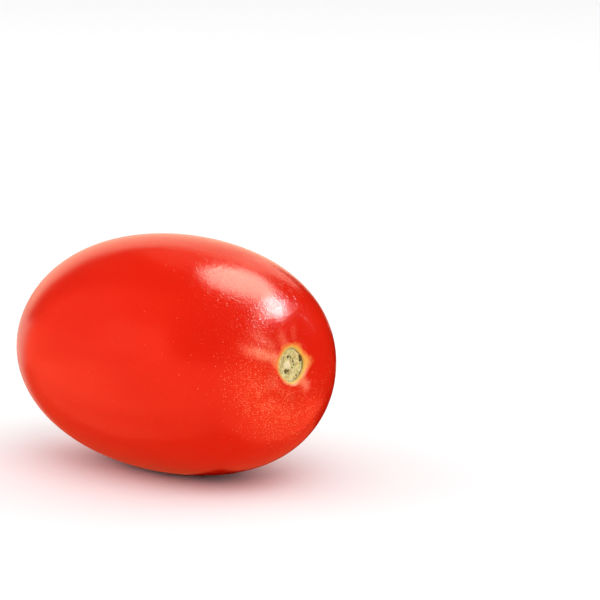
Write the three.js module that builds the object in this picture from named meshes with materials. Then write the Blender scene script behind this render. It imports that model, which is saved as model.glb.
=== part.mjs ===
// A ripe plum tomato, picked without its stalk and lying on its side: one fruit, one solid.
// Millimetres, +Z up. The origin is the middle of the flat spot that the fruit rests on. The stem
// scar faces +X and the small blossom scar faces -X.
import * as THREE from "three";

// The fruit's outline, from pole to pole
const HALF_LENGTH = 38;
const MEAN_RADIUS = 24;
const STEM_HEAVY = 0.13; // share by which the fruit is fuller towards the stem
const BLUNT_ENDS = 0.175; // how much flatter than an ellipse's both ends are
const BLUNT_STEM = 0.12; // added to that at the stem, taken from it at the blossom end

// The section across the fruit isn't round: it is a little oval, and a little three-sided
const OVAL = 0.062;
const OVAL_TURN = THREE.MathUtils.degToRad(-49);
const THREE_SIDED = 0.025;
const THREE_SIDED_TURN = THREE.MathUtils.degToRad(-11);

// The shallow dip around the stem, and the five soft furrows that run out of it
const DIP_DEPTH = 1.5;
const DIP_RADIUS = 6.5;
const FURROWS = 5;
const FURROW_DEPTH = 0.12;
const FURROW_RADIUS = 7.5; // where a furrow is deepest
const FURROW_TURN = THREE.MathUtils.degToRad(-8);

// The stem scar: a corky disc sunk in the skin, with a ring of pits around its middle
const SCAR_RADIUS = 3.3;
const SCAR_SQUARENESS = 0.035; // how much further out it reaches along and across than between
const SCAR_SINK = 0.35;
const SCAR_EDGE = 0.09; // half the width of the step at its edge, as a share of its radius
const SCAR_LIP = 0.18; // how high the skin swells around it
const LIP_AT = 1.3; // the places below are shares of the scar's radius too
const LIP_REACH = 0.22;
const PIT_RING_DEPTH = 0.2;
const PIT_RING_AT = 0.5;
const PIT_RING_REACH = 0.13;

// The blossom scar: a nub in a small dip
const BLOSSOM_DIP_DEPTH = 0.35;
const BLOSSOM_DIP_RADIUS = 3;
const NUB_HEIGHT = 0.4;
const NUB_RADIUS = 0.8;

// How it lies: the stem end a little raised, its weight over the flat spot
const STEM_RAISED = THREE.MathUtils.degToRad(3.9);
const AXIS_HEIGHT = 23.4; // of the middle of the fruit's axis
const SPOT_AHEAD = 1.7; // of the middle of the axis, towards the stem
const SPOT_ASIDE = 1.5;

// The mesh: meridians from pole to pole, and rings that stand closer together in three zones, over
// the two scars and over the flat spot
const MERIDIANS = 70;
const SPOT_TURN = THREE.MathUtils.degToRad(-86); // the turn that the meridians crowd towards
const MERIDIAN_CROWDING = 0.6;
const STEM_RINGS = 14;
const SHOULDER_RINGS = 13;
const SPOT_RINGS = 12;
const TAIL_RINGS = 12;
const BLOSSOM_RINGS = 6;
const STEM_ZONE = 0.2; // radians from the stem's pole
const SPOT_ZONE = 0.26; // radians to either side of the equator
const BLOSSOM_ZONE = 0.1; // radians from the blossom end's pole
const RING_CROWDING = 0.4; // how much closer the rings between the zones stand next to them

const SKIN_COLOUR = 0xd81e08;

// 1 at the middle of a band, fading to 0 at either side of it.
function band(value, middle, reach) {
  return Math.exp(-(((value - middle) / reach) ** 2));
}

// Adds the polar angles of one stretch of rings, without the stretch's end.
function addRings(angles, from, to, count, crowding) {
  for (let i = 0; i < count; i += 1) {
    const share = i / count;
    const eased = share - (crowding * Math.sin(2 * Math.PI * share)) / (2 * Math.PI);
    angles.push(from + (to - from) * eased);
  }
}

// The polar angle of each ring, 0 at the stem and pi at the blossom end.
function ringAngles() {
  const angles = [];
  const spotStart = Math.PI / 2 - SPOT_ZONE;
  const spotEnd = Math.PI / 2 + SPOT_ZONE;
  const blossomStart = Math.PI - BLOSSOM_ZONE;
  addRings(angles, 0, STEM_ZONE, STEM_RINGS, 0);
  addRings(angles, STEM_ZONE, spotStart, SHOULDER_RINGS, RING_CROWDING);
  addRings(angles, spotStart, spotEnd, SPOT_RINGS, 0);
  addRings(angles, spotEnd, blossomStart, TAIL_RINGS, RING_CROWDING);
  addRings(angles, blossomStart, Math.PI, BLOSSOM_RINGS, 0);
  angles.push(Math.PI);
  return angles;
}

// The turn of a meridian around the axis.
function meridianTurn(index) {
  const turn = (2 * Math.PI * (index % MERIDIANS)) / MERIDIANS;
  return SPOT_TURN + turn - MERIDIAN_CROWDING * Math.sin(turn);
}

// How far the skin and the scar stand out towards +X at the stem end, at a radius and a turn
// around the axis.
function stemRelief(radius, turn) {
  const share = radius / (SCAR_RADIUS * (1 + SCAR_SQUARENESS * Math.cos(4 * turn)));
  const inside = 1 - THREE.MathUtils.smoothstep(share, 1 - SCAR_EDGE, 1 + SCAR_EDGE);
  const spread = (radius / FURROW_RADIUS) ** 2;
  const furrow = Math.cos(FURROWS * (turn - FURROW_TURN)) * spread * Math.exp(1 - spread);
  return (
    SCAR_LIP * band(share, LIP_AT, LIP_REACH) -
    DIP_DEPTH * band(radius, 0, DIP_RADIUS) -
    FURROW_DEPTH * furrow -
    SCAR_SINK * inside -
    PIT_RING_DEPTH * band(share, PIT_RING_AT, PIT_RING_REACH)
  );
}

// How far the blossom end stands out towards -X.
function blossomRelief(radius) {
  return NUB_HEIGHT * band(radius, 0, NUB_RADIUS) - BLOSSOM_DIP_DEPTH * band(radius, 0, BLOSSOM_DIP_RADIUS);
}

// A point of the skin, in the fruit's own axes, at a polar angle from the stem and a turn around
// the axis.
function skinPoint(polar, turn) {
  const along = Math.cos(polar);
  const out = Math.sin(polar);
  const blunt = 1 + (BLUNT_ENDS + BLUNT_STEM * along) * out * out;
  const oval = OVAL * Math.cos(2 * (turn - OVAL_TURN));
  const threeSided = THREE_SIDED * Math.cos(3 * (turn - THREE_SIDED_TURN));
  const section = 1 + out * out * (oval + threeSided);
  const radius = MEAN_RADIUS * out * (1 + STEM_HEAVY * along) * section;
  const relief = along > 0 ? stemRelief(radius, turn) : -blossomRelief(radius);
  return new THREE.Vector3(
    HALF_LENGTH * along * blunt + relief,
    radius * Math.cos(turn),
    radius * Math.sin(turn),
  );
}

// Where a point of the fruit's own axes is once it lies on the table.
function lying(point) {
  point.applyAxisAngle(new THREE.Vector3(0, 1, 0), -STEM_RAISED);
  point.add(new THREE.Vector3(-SPOT_AHEAD, -SPOT_ASIDE, AXIS_HEIGHT));
  point.z = Math.max(point.z, 0); // the skin gives where it touches, which leaves the flat spot
  return point;
}

// A sphere's rings and faces, with each vertex moved onto the skin.
function fruitGeometry() {
  const angles = ringAngles();
  const geometry = new THREE.SphereGeometry(1, MERIDIANS, angles.length - 1);
  const position = geometry.getAttribute("position");
  const ringSize = MERIDIANS + 1;
  for (let i = 0; i < position.count; i += 1) {
    const ring = Math.floor(i / ringSize);
    const point = lying(skinPoint(angles[ring], meridianTurn(i % ringSize)));
    position.setXYZ(i, point.x, point.y, point.z);
  }
  geometry.computeVertexNormals();
  return geometry;
}

const skin = new THREE.MeshStandardMaterial({ color: SKIN_COLOUR, roughness: 0.3, metalness: 0 });
const tomato = new THREE.Mesh(fruitGeometry(), skin);
tomato.name = "tomato";

const part = new THREE.Group();
part.add(tomato);

export default part;
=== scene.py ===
"""A ripe plum tomato lying on a pale floor, in soft studio light. Metres, +Z up, stem scar at +X."""

import math

import bpy
import numpy
from mathutils import Matrix, Vector, noise


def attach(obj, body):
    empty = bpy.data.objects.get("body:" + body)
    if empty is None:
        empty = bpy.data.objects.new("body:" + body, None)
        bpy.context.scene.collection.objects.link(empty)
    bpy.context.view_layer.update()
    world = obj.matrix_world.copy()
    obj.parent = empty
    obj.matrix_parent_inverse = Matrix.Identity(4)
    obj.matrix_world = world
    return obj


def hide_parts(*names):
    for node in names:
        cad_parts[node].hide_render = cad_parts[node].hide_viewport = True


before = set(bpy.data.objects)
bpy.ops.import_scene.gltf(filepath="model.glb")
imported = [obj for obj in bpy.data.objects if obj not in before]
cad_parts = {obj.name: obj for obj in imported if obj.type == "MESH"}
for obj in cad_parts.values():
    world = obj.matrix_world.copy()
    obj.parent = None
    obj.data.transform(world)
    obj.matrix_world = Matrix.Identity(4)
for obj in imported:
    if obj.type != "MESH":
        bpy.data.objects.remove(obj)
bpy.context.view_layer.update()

MM = 0.001

# The fruit's outline, as in the solid
HALF_LENGTH = 38 * MM
MEAN_RADIUS = 24 * MM
STEM_HEAVY = 0.13
BLUNT_ENDS = 0.175
BLUNT_STEM = 0.12
OVAL = 0.062
OVAL_TURN = math.radians(-49)
THREE_SIDED = 0.025
THREE_SIDED_TURN = math.radians(-11)

# The dip around the stem and its furrows, as in the solid
DIP_DEPTH = 1.5 * MM
DIP_RADIUS = 6.5 * MM
FURROWS = 5
FURROW_DEPTH = 0.12 * MM
FURROW_RADIUS = 7.5 * MM
FURROW_TURN = math.radians(-8)

# The stem scar, as in the solid
SCAR_RADIUS = 3.3 * MM
SCAR_SQUARENESS = 0.035
SCAR_SINK = 0.35 * MM
SCAR_EDGE = 0.09
SCAR_LIP = 0.18 * MM
LIP_AT = 1.3
LIP_REACH = 0.22
PIT_RING_DEPTH = 0.2 * MM
PIT_RING_AT = 0.5
PIT_RING_REACH = 0.13

# The blossom scar, as in the solid
BLOSSOM_DIP_DEPTH = 0.35 * MM
BLOSSOM_DIP_RADIUS = 3 * MM
NUB_HEIGHT = 0.4 * MM
NUB_RADIUS = 0.8 * MM

# How it lies, as in the solid
STEM_RAISED = math.radians(3.9)
AXIS_HEIGHT = 23.4 * MM
SPOT_AHEAD = 1.7 * MM
SPOT_ASIDE = 1.5 * MM

# The stem scar's finer looks. Places on it are (across, up) from the fruit's axis.
NUB = (-0.75 * MM, 0)
STEM_NUB_HEIGHT = 0.22 * MM
STEM_NUB_RADIUS = 0.75 * MM
CORK_ROUGHNESS = 0.07 * MM
CORK_GRAIN = 0.45 * MM
PIT_DEPTH = 0.22 * MM
PITS = (  # across, up and radius of each dark pit
    (-0.2 * MM, 1.6 * MM, 0.36 * MM),
    (0.4 * MM, 1.35 * MM, 0.26 * MM),
    (1.0 * MM, 0.5 * MM, 0.34 * MM),
    (1.2 * MM, -0.1 * MM, 0.24 * MM),
    (0.7 * MM, -0.6 * MM, 0.2 * MM),
    (-1.1 * MM, -1.2 * MM, 0.5 * MM),
    (-0.5 * MM, -1.1 * MM, 0.34 * MM),
    (-1.65 * MM, 1.05 * MM, 0.24 * MM),
    (-1.95 * MM, 0.3 * MM, 0.18 * MM),
    (2.85 * MM, 1.3 * MM, 0.55 * MM),
    (2.8 * MM, 0.6 * MM, 0.4 * MM),
    (1.5 * MM, -2.2 * MM, 0.22 * MM),
)
PIT_UNEVENNESS = 0.45
PIT_UNEVENNESS_SIZE = 0.3 * MM
PIT_CIRCLE = 1.55 * MM  # a circle of small pits around the nub
PIT_CIRCLE_REACH = 0.4 * MM
NUB_EDGE = 0.95 * MM
RIM_AT = 0.95  # the dark line at the scar's edge, in shares of its radius
RIM_REACH = 0.045
RIM_STRENGTH = 0.45
RIM_STRENGTH_SWING = 0.4
RIM_TURN = math.radians(15)  # where that line is darkest

# The yellow halo around the scar, in shares of the scar's radius, and its pointed rays
HALO_REACH = 0.42
HALO_RAYS = (  # turn in degrees, added reach
    (2, 0.55),
    (62, 0.1),
    (122, 0.3),
    (166, 0.5),
    (262, -0.12),
)
RAY_WIDTH = math.radians(17)
HALO_UNEVENNESS = 0.3
HALO_UNEVENNESS_SIZE = 0.7 * MM

# Pale streaks that run out from the scar, partly painted glints of its ridges: turn in degrees, start, end,
# half width and strength
STREAKS = (
    (158, 3.5 * MM, 14.5 * MM, 1.1 * MM, 1.0),
    (142, 5 * MM, 14 * MM, 1.1 * MM, 0.3),
    (114, 3.4 * MM, 9 * MM, 0.9 * MM, 0.4),
    (84, 4 * MM, 9 * MM, 0.8 * MM, 0.2),
    (205, 4 * MM, 9 * MM, 1.2 * MM, 0.2),
    (306, 2.6 * MM, 7.5 * MM, 0.9 * MM, 1.0),
)
STREAK_START = 1.5 * MM  # the length over which a streak fades in
STREAK_WANDER = 0.4 * MM
STREAK_WANDER_SIZE = 2 * MM

# Where the pale specks are dense: in radius from the stem's pole, and most at one turn
SPECKS_FROM = 3.6 * MM
SPECKS_FULL = 5.5 * MM
SPECKS_FADE = 10 * MM
SPECKS_GONE = 18 * MM
SPECKS_TURN = math.radians(230)
SPECKS_NARROWNESS = 2
SPECKS_ELSEWHERE = 0.005

# Where the skin is finely dimpled: the stem's half, to these angles from its pole
DIMPLES_FADE = math.radians(60)
DIMPLES_GONE = math.radians(88)
DIMPLES_ELSEWHERE = 0.1

# Where the gloss is broken by tiny pocks: above the stem scar, around one turn, and to these
# angles from the stem's pole
POCKS_TURN = math.radians(112)
POCKS_REACH = math.radians(35)
POCKS_FADE = math.radians(35)
POCKS_GONE = math.radians(65)

# The blossom scar's looks: a brown tip in a paler ring
TIP_RADIUS = 0.85 * MM
TIP_RING = 2.6 * MM
TIP_UNEVENNESS = 0.25
TIP_UNEVENNESS_SIZE = 0.6 * MM

# Colours, in linear red, green and blue
RED = (0.67, 0.01, 0.0017, 1)
RIPER_RED = (0.73, 0.0145, 0.0026, 1)
HAZE = (0.8, 0.045, 0.01, 1)
# the pale streaks' colour, partly a painted glint
STREAK_AND_GLINT = (1, 0.28, 0.15, 1)
PALE_SPOT = (1, 0.2, 0.08, 1)
DARK_SPOT = (0.72, 0.01, 0.002, 1)
DUST = (1, 0.36, 0.16, 1)
SPECK = (1, 0.4, 0.25, 1)
HALO_ORANGE = (0.78, 0.15, 0.015, 1)
HALO_YELLOW = (0.74, 0.42, 0.055, 1)
CORK_BROWN = (0.45, 0.35, 0.1, 1)
CORK_TAN = (0.7, 0.58, 0.26, 1)
NUB_CREAM = (0.78, 0.71, 0.5, 1)
RIM_BROWN = (0.1, 0.08, 0.012, 1)
PIT_BROWN = (0.09, 0.06, 0.008, 1)
TIP_ORANGE = (0.75, 0.17, 0.03, 1)
TIP_BROWN = (0.2, 0.11, 0.035, 1)
FLOOR_WHITE = (0.91, 0.91, 0.91, 1)

# How strongly each of those covers what is below it
HAZE_STRENGTH = 0.45
STREAK_GAPS = 0.4  # between a streak's spots
PALE_STRENGTH = 0.6
DARK_STRENGTH = 0.5
DUST_STRENGTH = 0.5
SPECK_STRENGTH = 0.7
NUB_STRENGTH = 0.6
TIP_RING_STRENGTH = 0.7

# The sizes of the skin's patterns, and how high or deep the bumps are as shares of their depth
RIPENESS_SIZE = 14 * MM
CLUSTER_SIZE = 2.2 * MM
SPOT_SIZE = 0.24 * MM
DUST_SPACING = 0.25 * MM
DUST_RADIUS = 0.085 * MM
SPECK_SPACING = 0.4 * MM
SPECK_RADIUS = 0.1 * MM
CORK_GRAIN_SIZE = 0.5 * MM
FROST_SIZE = 0.3 * MM
DIMPLE_SIZE = 0.45 * MM
DIMPLE_HEIGHT = 0.35
PORE_SPACING = 0.5 * MM
PORE_HEIGHT = 0.15
POCK_SPACING = 0.34 * MM
POCK_RADIUS = 0.16 * MM
POCK_DENSITY = 0.55
POCK_HEIGHT = 0.07
CORK_HEIGHT = 0.5
BUMP_DEPTH = 0.13 * MM

# Roughness
STEM_HALF_ROUGHNESS = 0.12
BLOSSOM_HALF_ROUGHNESS = 0.23
FROSTED_ROUGHNESS = 0.2
POCK_ROUGHNESS = 0.3
HALO_ROUGHNESS = 0.6
DRY_ROUGHNESS = 0.85

# How light enters the skin
SKIN_IOR = 1.45
SUBSURFACE_WEIGHT = 0.7
SUBSURFACE_RADIUS = (1, 0.15, 0.06)
SUBSURFACE_SCALE = 6 * MM

# The fine mesh
MERIDIANS = 260
STEM_RINGS = 64
BODY_RINGS = 190
BLOSSOM_RINGS = 30
STEM_ZONE = 0.2
STEM_LOOKS_ZONE = 0.6  # radians from the stem's pole where the scar's finer looks may reach
BLOSSOM_ZONE = 0.1
BODY_CROWDING = 0.85

# The camera: where it looks from, and where in the frame the fruit's middle falls
CAMERA_TURN = math.radians(44.1)
CAMERA_RISE = math.radians(9)
CAMERA_DISTANCE = 480 * MM
CAMERA_LENS = 141.2
SENSOR_WIDTH = 36
FRAME_PIXELS = 600
FRUIT_PIXEL = (163.0, 354.0)

# The soft lights. Each radiance is in shares of a white floor's.
SHOULDER = Vector((30 * MM, -5 * MM, 38 * MM))  # what the lights above the stem end face
OVERHEAD_DISTANCE = 4
WALL_CARDS = (  # name, x, y, z and radiance of the lit room's reflections
    ("back", (-5, -0.45), 0.8, (0, 1.5), (1.4, 1.0, 0.7)),
    ("back_end", (-0.45, -0.03), 0.8, (0.33, 1.2), (1.8, 1.35, 1)),
    ("front", (-4, -0.04), -0.5, (0, 0.7), (1.3, 0.13, 0.06)),
    ("front_low", (-0.45, -0.06), -0.49, (0, 0.22), (1.3, 0.26, 0.15)),
)
FLOOR_CARDS = (  # name, x, y and radiance of the floor's reflections, dimmer in the fruit's shade
    ("table_left", (-4, -0.1), (-4, -0.014), (1.6, 0.22, 0.1)),
    ("table_front", (-0.1, 4), (-4, -0.035), (2.4, 0.36, 0.16)),
    ("table_nose", (0.036, 4), (-0.035, 0.05), (2.2, 0.34, 0.15)),
    ("near_front", (-0.1, 0.036), (-0.035, -0.022), (1.4, 0.24, 0.11)),
    ("nearer_front", (-0.1, 0.036), (-0.022, -0.0065), (0.7, 0.1, 0.04)),
    ("near_nose", (0.02, 0.036), (-0.009, 0.03), (0.8, 0.12, 0.05)),
    ("rim_left", (-0.4, -0.027), (-0.014, 0), (0.7, 0.4, 0.3)),
    ("near_back", (-0.12, -0.025), (-0.004, 0.12), (0.9, 0.7, 0.55)),
    ("table_back", (-4, -0.12), (0, 0.4), (1, 0.82, 0.65)),
)
CARD_LIFT = 1 * MM  # how far above the floor a card lies on it


def smoothstep(value, low, high):
    """0 below low, 1 above high, and a smooth rise between them."""
    share = numpy.clip((value - low) / (high - low), 0, 1)
    return share * share * (3 - 2 * share)


def band(value, middle, reach):
    """1 at the middle of a band, fading to 0 at either side of it."""
    return numpy.exp(-(((value - middle) / reach) ** 2))


def ring_angles():
    """The polar angle of each ring between the poles."""
    share = numpy.arange(BODY_RINGS) / BODY_RINGS
    eased = share - BODY_CROWDING * numpy.sin(2 * math.pi * share) / (2 * math.pi)
    body_end = math.pi - BLOSSOM_ZONE
    return numpy.concatenate([
        STEM_ZONE * numpy.arange(1, STEM_RINGS) / STEM_RINGS,
        STEM_ZONE + (body_end - STEM_ZONE) * eased,
        body_end + BLOSSOM_ZONE * numpy.arange(BLOSSOM_RINGS) / BLOSSOM_RINGS,
    ])


def scar_share(radius, turn):
    """How far out a point is at the stem end, as a share of the scar's uneven radius."""
    return radius / (SCAR_RADIUS * (1 + SCAR_SQUARENESS * numpy.cos(4 * turn)))


def stem_relief(radius, turn):
    """How far the skin and the scar stand out at the stem end."""
    share = scar_share(radius, turn)
    inside = 1 - smoothstep(share, 1 - SCAR_EDGE, 1 + SCAR_EDGE)
    spread = (radius / FURROW_RADIUS) ** 2
    furrow = numpy.cos(FURROWS * (turn - FURROW_TURN)) * spread * numpy.exp(1 - spread)
    return (
        SCAR_LIP * band(share, LIP_AT, LIP_REACH)
        - DIP_DEPTH * band(radius, 0, DIP_RADIUS)
        - FURROW_DEPTH * furrow
        - SCAR_SINK * inside
        - PIT_RING_DEPTH * band(share, PIT_RING_AT, PIT_RING_REACH)
    )


def noise_at(places, size, seed):
    """Smooth noise from -1 to 1 at each place, with lumps of about that size."""
    offset = Vector((seed, seed, seed))
    return numpy.array([noise.noise(Vector(place) / size + offset) for place in places])


def scar_places(across, up):
    """Places on the scar's plane, for the noise."""
    return numpy.stack([across, up, numpy.zeros_like(across)], -1)


def pit_mask(across, up):
    """1 in the middle of the scar's dark pits, 0 outside them."""
    places = scar_places(across, up)
    uneven = 1 + PIT_UNEVENNESS * noise_at(places, PIT_UNEVENNESS_SIZE, 5)
    mask = numpy.zeros_like(across)
    for pit_across, pit_up, radius in PITS:
        distance = numpy.hypot(across - pit_across, up - pit_up) * uneven
        mask = numpy.maximum(mask, 1 - smoothstep(distance, 0.55 * radius, 1.15 * radius))
    from_nub = numpy.hypot(across - NUB[0], up - NUB[1])
    small = smoothstep(noise_at(places, PIT_UNEVENNESS_SIZE, 9), 0.1, 0.3)
    return numpy.maximum(mask, small * band(from_nub, PIT_CIRCLE, PIT_CIRCLE_REACH))


def cork_relief(across, up, share):
    """The finer relief of the scar's corky face: its nub, its grain and its pits."""
    places = scar_places(across, up)
    grain = noise_at(places, CORK_GRAIN, 1) + 0.5 * noise_at(places, CORK_GRAIN / 2, 2)
    nub = band(numpy.hypot(across - NUB[0], up - NUB[1]), 0, STEM_NUB_RADIUS)
    relief = CORK_ROUGHNESS * grain + STEM_NUB_HEIGHT * nub - PIT_DEPTH * pit_mask(across, up)
    return relief * (1 - smoothstep(share, 0.9, 1.05))


def halo_mask(share, turn, across, up):
    """1 at the scar's edge, fading outwards to 0, further out along the rays."""
    reach = numpy.full_like(turn, HALO_REACH)
    for ray_turn, added in HALO_RAYS:
        away = numpy.angle(numpy.exp(1j * (turn - math.radians(ray_turn))))
        reach += added * band(away, 0, RAY_WIDTH)
    reach *= 1 + HALO_UNEVENNESS * noise_at(scar_places(across, up), HALO_UNEVENNESS_SIZE, 3)
    return 1 - smoothstep((share - 1) / reach, 0, 1)


def streak_and_glint_mask(radius, turn, across, up):
    """1 along the middle of the pale streaks, partly painted glints, fading to 0 at their sides and ends."""
    wander = STREAK_WANDER * noise_at(scar_places(across, up), STREAK_WANDER_SIZE, 7)
    mask = numpy.zeros_like(radius)
    for streak_turn, start, end, half_width, strength in STREAKS:
        away = turn - math.radians(streak_turn)
        ahead = radius * numpy.cos(away)
        aside = radius * numpy.sin(away) + wander
        fade_in = smoothstep(ahead, start, start + STREAK_START)
        fade_out = 1 - smoothstep(ahead, (start + end) / 2, end)
        mask = numpy.maximum(mask, strength * (fade_in * fade_out) * band(aside, 0, half_width))
    return mask


def speck_density(radius, turn):
    """How dense the pale specks are, from 0 to 1: most below the scar and to its left."""
    fade_in = smoothstep(radius, SPECKS_FROM, SPECKS_FULL)
    fade_out = 1 - smoothstep(radius, SPECKS_FADE, SPECKS_GONE)
    side = (0.5 + 0.5 * numpy.cos(turn - SPECKS_TURN)) ** SPECKS_NARROWNESS
    return SPECKS_ELSEWHERE + (1 - SPECKS_ELSEWHERE) * (fade_in * fade_out) * side


def blossom_relief(radius):
    """How far the blossom end stands out."""
    nub = NUB_HEIGHT * band(radius, 0, NUB_RADIUS)
    return nub - BLOSSOM_DIP_DEPTH * band(radius, 0, BLOSSOM_DIP_RADIUS)


def skin_radius(polar, turn):
    """How far from the fruit's axis its skin is."""
    along = numpy.cos(polar)
    out = numpy.sin(polar)
    oval = OVAL * numpy.cos(2 * (turn - OVAL_TURN))
    three_sided = THREE_SIDED * numpy.cos(3 * (turn - THREE_SIDED_TURN))
    section = 1 + out * out * (oval + three_sided)
    return MEAN_RADIUS * out * (1 + STEM_HEAVY * along) * section


def skin_points(polar, turn, radius):
    """Points of the skin, in the fruit's own axes."""
    along = numpy.cos(polar)
    out = numpy.sin(polar)
    blunt = 1 + (BLUNT_ENDS + BLUNT_STEM * along) * out * out
    relief = numpy.where(along > 0, stem_relief(radius, turn), -blossom_relief(radius))
    x = HALF_LENGTH * along * blunt + relief
    return numpy.stack([x, radius * numpy.cos(turn), radius * numpy.sin(turn)], -1)


def lying(points):
    """Where points of the fruit's own axes are once it lies on the floor."""
    cosine = math.cos(STEM_RAISED)
    sine = math.sin(STEM_RAISED)
    x = cosine * points[:, 0] - sine * points[:, 2] - SPOT_AHEAD
    y = points[:, 1] - SPOT_ASIDE
    z = sine * points[:, 0] + cosine * points[:, 2] + AXIS_HEIGHT
    return numpy.stack([x, y, numpy.maximum(z, 0)], -1)


def stem_masks(radius, turn, across, up):
    """The masks of the scar and of what is around it."""
    share = scar_share(radius, turn)
    from_nub = numpy.hypot(across - NUB[0], up - NUB[1])
    rim_strength = RIM_STRENGTH + RIM_STRENGTH_SWING * numpy.cos(turn - RIM_TURN)
    return {
        "cork": 1 - smoothstep(share, 0.95, 1.02),
        "nub": 1 - smoothstep(from_nub, 0.7 * NUB_EDGE, NUB_EDGE),
        "pit": pit_mask(across, up),
        "rim": band(share, RIM_AT, RIM_REACH) * rim_strength,
        "halo": halo_mask(share, turn, across, up),
        # the pale streaks, partly painted glints of the ridges
        "streak": streak_and_glint_mask(radius, turn, across, up),
    }


def skin_masks(polar, turn, radius, points):
    """The masks of the whole skin: its specks, dimples and pocks, and the blossom scar's tip."""
    near_stem = polar < math.pi / 2
    dimpled = 1 - smoothstep(polar, DIMPLES_FADE, DIMPLES_GONE)
    from_pocks = numpy.angle(numpy.exp(1j * (turn - POCKS_TURN)))
    pocked = 1 - smoothstep(polar, POCKS_FADE, POCKS_GONE)
    uneven_radius = radius * (1 + TIP_UNEVENNESS * noise_at(points, TIP_UNEVENNESS_SIZE, 4))
    tip = 1 - smoothstep(uneven_radius, 0.6 * TIP_RADIUS, TIP_RADIUS)
    tip_ring = 1 - smoothstep(uneven_radius, 0.5 * TIP_RADIUS, TIP_RING)
    return {
        "specks": numpy.where(near_stem, speck_density(radius, turn), SPECKS_ELSEWHERE),
        "dimples": DIMPLES_ELSEWHERE + (1 - DIMPLES_ELSEWHERE) * dimpled,
        "pocks": band(from_pocks, 0, POCKS_REACH) * pocked,
        "tip": numpy.where(near_stem, 0, tip),
        "tip_ring": numpy.where(near_stem, 0, tip_ring),
    }


def skin_faces(rings):
    """The faces between a pole, that many rings, and the other pole."""
    last = 1 + rings * MERIDIANS
    last_ring = last - MERIDIANS
    faces = []
    for i in range(MERIDIANS):
        j = (i + 1) % MERIDIANS
        faces.append((0, 1 + i, 1 + j))
        for ring in range(rings - 1):
            start = 1 + ring * MERIDIANS
            faces.append((start + i, start + MERIDIANS + i, start + MERIDIANS + j, start + j))
        faces.append((last, last_ring + j, last_ring + i))
    return faces


def fruit_mesh():
    """The fine skin, with its masks for the material."""
    polar = ring_angles()
    turn = 2 * math.pi * numpy.arange(MERIDIANS) / MERIDIANS
    grid_polar, grid_turn = numpy.meshgrid(polar, turn, indexing="ij")
    all_polar = numpy.concatenate([[0], grid_polar.ravel(), [math.pi]])
    all_turn = numpy.concatenate([[0], grid_turn.ravel(), [0]])
    radius = skin_radius(all_polar, all_turn)
    points = skin_points(all_polar, all_turn, radius)

    stem_end = numpy.flatnonzero(all_polar < STEM_LOOKS_ZONE)
    across = points[stem_end, 1]
    up = points[stem_end, 2]
    stem_radius = radius[stem_end]
    stem_turn = all_turn[stem_end]
    points[stem_end, 0] += cork_relief(across, up, scar_share(stem_radius, stem_turn))
    masks = {}
    for name, values in stem_masks(stem_radius, stem_turn, across, up).items():
        masks[name] = numpy.zeros(len(points))
        masks[name][stem_end] = values
    masks.update(skin_masks(all_polar, all_turn, radius, points))

    mesh = bpy.data.meshes.new("tomato_skin")
    mesh.from_pydata(lying(points).tolist(), [], skin_faces(len(polar)))
    for name, values in masks.items():
        mesh.attributes.new(name, "FLOAT", "POINT").data.foreach_set("value", values)
    mesh.update()
    mesh.shade_smooth()
    return mesh


def camera_axes():
    """The camera's backward, right and up directions."""
    flat = math.cos(CAMERA_RISE)
    backward = Vector((
        math.sin(CAMERA_TURN) * flat,
        -math.cos(CAMERA_TURN) * flat,
        math.sin(CAMERA_RISE),
    ))
    right = Vector((math.cos(CAMERA_TURN), math.sin(CAMERA_TURN), 0))
    return backward, right, backward.cross(right)


def add_camera(target):
    """The camera at the photograph's angle, with the fruit's middle where the photograph has it."""
    backward, right, up = camera_axes()
    focal_pixels = CAMERA_LENS / SENSOR_WIDTH * FRAME_PIXELS
    half = FRAME_PIXELS / 2
    across = (FRUIT_PIXEL[0] - half) / focal_pixels
    down = (FRUIT_PIXEL[1] - half) / focal_pixels
    ray = (right * across - up * down - backward).normalized()

    data = bpy.data.cameras.new("camera")
    data.lens = CAMERA_LENS
    data.sensor_width = SENSOR_WIDTH
    data.clip_start = 0.01
    camera = bpy.data.objects.new("camera", data)
    camera.location = target - ray * CAMERA_DISTANCE
    camera.rotation_mode = "QUATERNION"
    camera.rotation_quaternion = backward.to_track_quat("Z", "Y")
    bpy.context.scene.collection.objects.link(camera)
    bpy.context.scene.camera = camera


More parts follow.
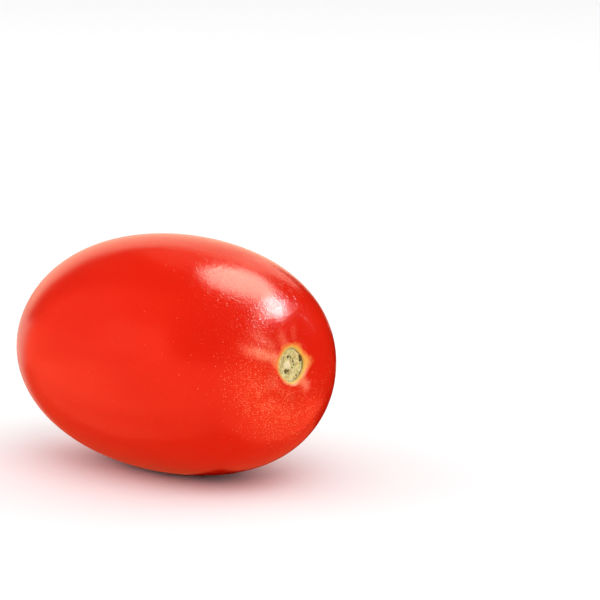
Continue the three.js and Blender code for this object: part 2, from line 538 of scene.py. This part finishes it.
class Nodes:
    """Short calls for a material's nodes. An input may be a number, a colour or another node's output."""

    def __init__(self, tree):
        self.tree = tree

    def add(self, kind, inputs=(), **settings):
        node = self.tree.nodes.new("ShaderNode" + kind)
        for name, value in settings.items():
            setattr(node, name, value)
        for name, value in dict(inputs).items():
            self.set(node.inputs[name], value)
        return node

    def set(self, socket, value):
        if isinstance(value, bpy.types.NodeSocket):
            self.tree.links.new(value, socket)
        else:
            socket.default_value = value

    def mask(self, name):
        return self.add("Attribute", attribute_name=name).outputs["Fac"]

    def math(self, operation, first, second):
        return self.add("Math", {0: first, 1: second}, operation=operation).outputs[0]

    def mix(self, share, first, second):
        node = self.add("Mix", {"Factor": share}, data_type="RGBA")
        self.set(node.inputs["A"], first)
        self.set(node.inputs["B"], second)
        return node.outputs["Result"]

    def mix_value(self, share, first, second):
        return self.add("Mix", {0: share, 2: first, 3: second}, data_type="FLOAT").outputs[0]

    def steps(self, value, low, high):
        inputs = {"Value": value, "From Min": low, "From Max": high}
        return self.add("MapRange", inputs, interpolation_type="SMOOTHSTEP").outputs[0]

    def noise(self, place, size, detail=2.0):
        inputs = {"Vector": place, "Scale": 1 / size, "Detail": detail}
        return self.add("TexNoise", inputs).outputs[0]

    def specks(self, place, spacing, radius, density):
        """1 on small round specks, at that density: the share of the pattern's cells that has one."""
        cells = self.add("TexVoronoi", {"Vector": place, "Scale": 1 / spacing})
        chance = self.add("SeparateColor", {"Color": cells.outputs["Color"]}).outputs[0]
        there = self.math("LESS_THAN", chance, density)
        outside = self.steps(cells.outputs["Distance"], 0.5 * radius / spacing, radius / spacing)
        return self.math("MULTIPLY", there, self.math("SUBTRACT", 1.0, outside))


def red_colour(nodes, place):
    """The red skin's colour, with its pale streaks, partly painted glints, and its specks."""
    density = nodes.mask("specks")
    ripeness = nodes.noise(place, RIPENESS_SIZE)
    red = nodes.mix(ripeness, RED, RIPER_RED)
    hazy = nodes.mix(nodes.math("MULTIPLY", density, HAZE_STRENGTH), red, HAZE)
    spots = nodes.noise(place, SPOT_SIZE, 1)
    broken = nodes.mix_value(nodes.steps(spots, 0.38, 0.62), STREAK_GAPS, 1.0)
    # the pale streaks, partly painted glints of the ridges around the scar
    streaked_and_glinted = nodes.mix(nodes.math("MULTIPLY", nodes.mask("streak"), broken), hazy, STREAK_AND_GLINT)

    clusters = nodes.steps(nodes.noise(place, CLUSTER_SIZE), 0.2, 0.7)
    crowded = nodes.math("MULTIPLY", density, clusters)
    above = nodes.math("SUBTRACT", spots, nodes.mix_value(crowded, 0.72, 0.5))
    pale = nodes.math("MULTIPLY", nodes.steps(above, 0.0, 0.14), PALE_STRENGTH)
    spotted = nodes.mix(pale, streaked_and_glinted, PALE_SPOT)

    grouped = nodes.math("MULTIPLY", density, nodes.mix_value(clusters, 0.35, 1.0))
    dust = nodes.math("MULTIPLY", nodes.specks(place, DUST_SPACING, DUST_RADIUS, grouped), DUST_STRENGTH)
    dusted = nodes.mix(dust, spotted, DUST)
    specks = nodes.math("MULTIPLY", nodes.specks(place, SPECK_SPACING, SPECK_RADIUS, grouped), SPECK_STRENGTH)
    speckled = nodes.mix(specks, dusted, SPECK)
    dark_crowded = nodes.math("MULTIPLY", crowded, DARK_STRENGTH)
    dark = nodes.math("MULTIPLY", nodes.steps(spots, 0.42, 0.3), dark_crowded)
    return nodes.mix(dark, speckled, DARK_SPOT)


def cork_colour(nodes, grain):
    """The stem scar's colour."""
    tan = nodes.mix(nodes.steps(grain, 0.36, 0.6), CORK_BROWN, CORK_TAN)
    nubbed = nodes.mix(nodes.math("MULTIPLY", nodes.mask("nub"), NUB_STRENGTH), tan, NUB_CREAM)
    rimmed = nodes.mix(nodes.mask("rim"), nubbed, RIM_BROWN)
    return nodes.mix(nodes.mask("pit"), rimmed, PIT_BROWN)


def skin_material():
    """The red skin, the corky stem scar in its yellow halo, and the blossom scar's brown tip."""
    material = bpy.data.materials.new("tomato_skin")
    material.use_nodes = True
    nodes = Nodes(material.node_tree)
    place = nodes.add("TexCoord").outputs["Object"]
    cork = nodes.mask("cork")
    halo = nodes.mask("halo")
    dimples = nodes.mask("dimples")
    tip = nodes.mask("tip")
    grain = nodes.noise(place, CORK_GRAIN_SIZE, 4)

    orange = nodes.mix(nodes.steps(halo, 0.0, 0.65), red_colour(nodes, place), HALO_ORANGE)
    haloed = nodes.mix(nodes.steps(halo, 0.6, 1.0), orange, HALO_YELLOW)
    scarred = nodes.mix(cork, haloed, cork_colour(nodes, grain))
    ring = nodes.math("MULTIPLY", nodes.mask("tip_ring"), TIP_RING_STRENGTH)
    colour = nodes.mix(tip, nodes.mix(ring, scarred, TIP_ORANGE), TIP_BROWN)

    dimpling = nodes.math("MULTIPLY", nodes.noise(place, DIMPLE_SIZE, 1), DIMPLE_HEIGHT)
    cells = nodes.add("TexVoronoi", {"Vector": place, "Scale": 1 / PORE_SPACING}).outputs["Distance"]
    pores = nodes.math("MULTIPLY", nodes.steps(cells, 0.05, 0.35), PORE_HEIGHT)
    dimpled = nodes.math("MULTIPLY", nodes.math("ADD", dimpling, pores), dimples)
    pock_density = nodes.math("MULTIPLY", nodes.mask("pocks"), POCK_DENSITY)
    pocks = nodes.specks(place, POCK_SPACING, POCK_RADIUS, pock_density)
    skin_height = nodes.math("SUBTRACT", dimpled, nodes.math("MULTIPLY", pocks, POCK_HEIGHT))
    height = nodes.mix_value(cork, skin_height, nodes.math("MULTIPLY", grain, CORK_HEIGHT))
    bump = nodes.add("Bump", {"Height": height, "Strength": 1.0, "Distance": BUMP_DEPTH})

    smooth = nodes.mix_value(dimples, BLOSSOM_HALF_ROUGHNESS, STEM_HALF_ROUGHNESS)
    frost = nodes.math("MULTIPLY", nodes.steps(nodes.noise(place, FROST_SIZE, 1), 0.48, 0.62), dimples)
    frosted = nodes.mix_value(frost, smooth, FROSTED_ROUGHNESS)
    pocked = nodes.mix_value(pocks, frosted, POCK_ROUGHNESS)
    rough_skin = nodes.mix_value(halo, pocked, HALO_ROUGHNESS)
    roughness = nodes.mix_value(nodes.math("MAXIMUM", cork, tip), rough_skin, DRY_ROUGHNESS)

    shader = material.node_tree.nodes["Principled BSDF"]
    nodes.set(shader.inputs["Base Color"], colour)
    nodes.set(shader.inputs["Roughness"], roughness)
    nodes.set(shader.inputs["Normal"], bump.outputs[0])
    shader.inputs["IOR"].default_value = SKIN_IOR
    shader.inputs["Subsurface Weight"].default_value = SUBSURFACE_WEIGHT
    shader.inputs["Subsurface Radius"].default_value = SUBSURFACE_RADIUS
    shader.inputs["Subsurface Scale"].default_value = SUBSURFACE_SCALE
    return material


def add_floor():
    """A plain pale floor."""
    bpy.ops.mesh.primitive_plane_add(size=60)
    floor = bpy.context.object
    floor.name = "floor"
    material = bpy.data.materials.new("floor")
    material.use_nodes = True
    shader = material.node_tree.nodes["Principled BSDF"]
    shader.inputs["Base Color"].default_value = FLOOR_WHITE
    shader.inputs["Roughness"].default_value = 1
    shader.inputs["Specular IOR Level"].default_value = 0
    floor.data.materials.append(material)
    floor.visible_glossy = False


def direction_at(turn, rise):
    """The direction at a turn and a rise in degrees, counted like the camera's."""
    turn = math.radians(turn)
    rise = math.radians(rise)
    flat = math.cos(rise)
    return Vector((math.sin(turn) * flat, -math.cos(turn) * flat, math.sin(rise)))


def add_card(name, place, facing, along, length, breadth, radiance, shape="RECTANGLE", fill=False):
    """A soft light like a lit card, its length along the given direction.

    It shows only in the skin's gloss, or a fill only in its colour.
    """
    brightest = max(radiance)
    data = bpy.data.lights.new(name, "AREA")
    data.shape = shape
    data.size = length
    data.size_y = breadth
    data.energy = brightest * math.pi * length * breadth
    data.color = [share / brightest for share in radiance]
    card = bpy.data.objects.new(name, data)
    backward = -facing.normalized()
    along = (along - backward * along.dot(backward)).normalized()
    axes = Matrix((along, backward.cross(along), backward)).transposed()
    card.location = place
    card.rotation_mode = "QUATERNION"
    card.rotation_quaternion = axes.to_quaternion()
    card.visible_camera = False
    card.visible_diffuse = fill
    card.visible_glossy = not fill
    bpy.context.scene.collection.objects.link(card)


def add_card_at(name, target, turn, rise, distance, **card):
    """A card that faces the target from a turn and a rise, its length level."""
    direction = direction_at(turn, rise)
    along = direction.cross(Vector((0, 0, 1)))
    add_card(name, target + direction * distance, -direction, along, **card)


def add_floor_card(name, x, y, radiance):
    """A card lying on the floor, which stands for the lit floor's reflection in the skin."""
    place = Vector((sum(x) / 2, sum(y) / 2, CARD_LIFT))
    add_card(name, place, Vector((0, 0, 1)), Vector((1, 0, 0)), x[1] - x[0], y[1] - y[0], radiance)


def add_wall_card(name, x, y, z, radiance):
    """An upright card along X, facing the fruit."""
    place = Vector((sum(x) / 2, y, sum(z) / 2))
    facing = Vector((0, -1 if y > 0 else 1, 0))
    add_card(name, place, facing, Vector((1, 0, 0)), x[1] - x[0], z[1] - z[0], radiance)


def add_lights(middle):
    """The key light and its tail, the light overhead, the room's and floor's cards, and two fills."""
    add_card_at(
        "key", SHOULDER, turn=129.8, rise=28.5, distance=0.8,
        length=0.35, breadth=0.38, radiance=(21, 19.5, 19.5), shape="ELLIPSE",
    )
    add_card_at(
        "key_tail", SHOULDER, turn=113, rise=27, distance=0.8,
        length=0.2, breadth=0.16, radiance=(3.8, 1.7, 0.9), shape="ELLIPSE",
    )
    overhead = direction_at(142, 69)
    add_card(
        "overhead", SHOULDER + OVERHEAD_DISTANCE * overhead, -overhead, direction_at(133, 0),
        length=4.7, breadth=2.8, radiance=(9.5, 7.8, 6.2), shape="ELLIPSE",
    )
    add_card_at(
        "back_top", middle, turn=-140, rise=62, distance=3,
        length=3, breadth=1.6, radiance=(1.2, 0.3, 0.18),
    )
    for name, x, y, z, radiance in WALL_CARDS:
        add_wall_card(name, x, y, z, radiance)
    for name, x, y, radiance in FLOOR_CARDS:
        add_floor_card(name, x, y, radiance)
    add_card_at(
        "fill_left", middle, turn=-50, rise=20, distance=3,
        length=2.5, breadth=2.5, radiance=(1, 1, 1), fill=True,
    )
    add_card_at(
        "fill_front", middle, turn=70, rise=45, distance=3,
        length=2.5, breadth=2.5, radiance=(1.2, 1.2, 1.2), fill=True,
    )


middle = Vector((-SPOT_AHEAD, -SPOT_ASIDE, AXIS_HEIGHT))
add_camera(middle)
add_floor()

fruit = bpy.data.objects.new("fruit", fruit_mesh())
bpy.context.scene.collection.objects.link(fruit)
fruit.data.materials.append(skin_material())
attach(fruit, "root")
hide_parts("tomato")

add_lights(middle)

world = bpy.data.worlds.new("studio")
world.use_nodes = True
world.node_tree.nodes["Background"].inputs["Color"].default_value = (1, 1, 1, 1)
world.node_tree.nodes["Background"].inputs["Strength"].default_value = 1.0
world.cycles_visibility.glossy = False
bpy.context.scene.world = world
bpy.context.scene.view_settings.view_transform = "Standard"
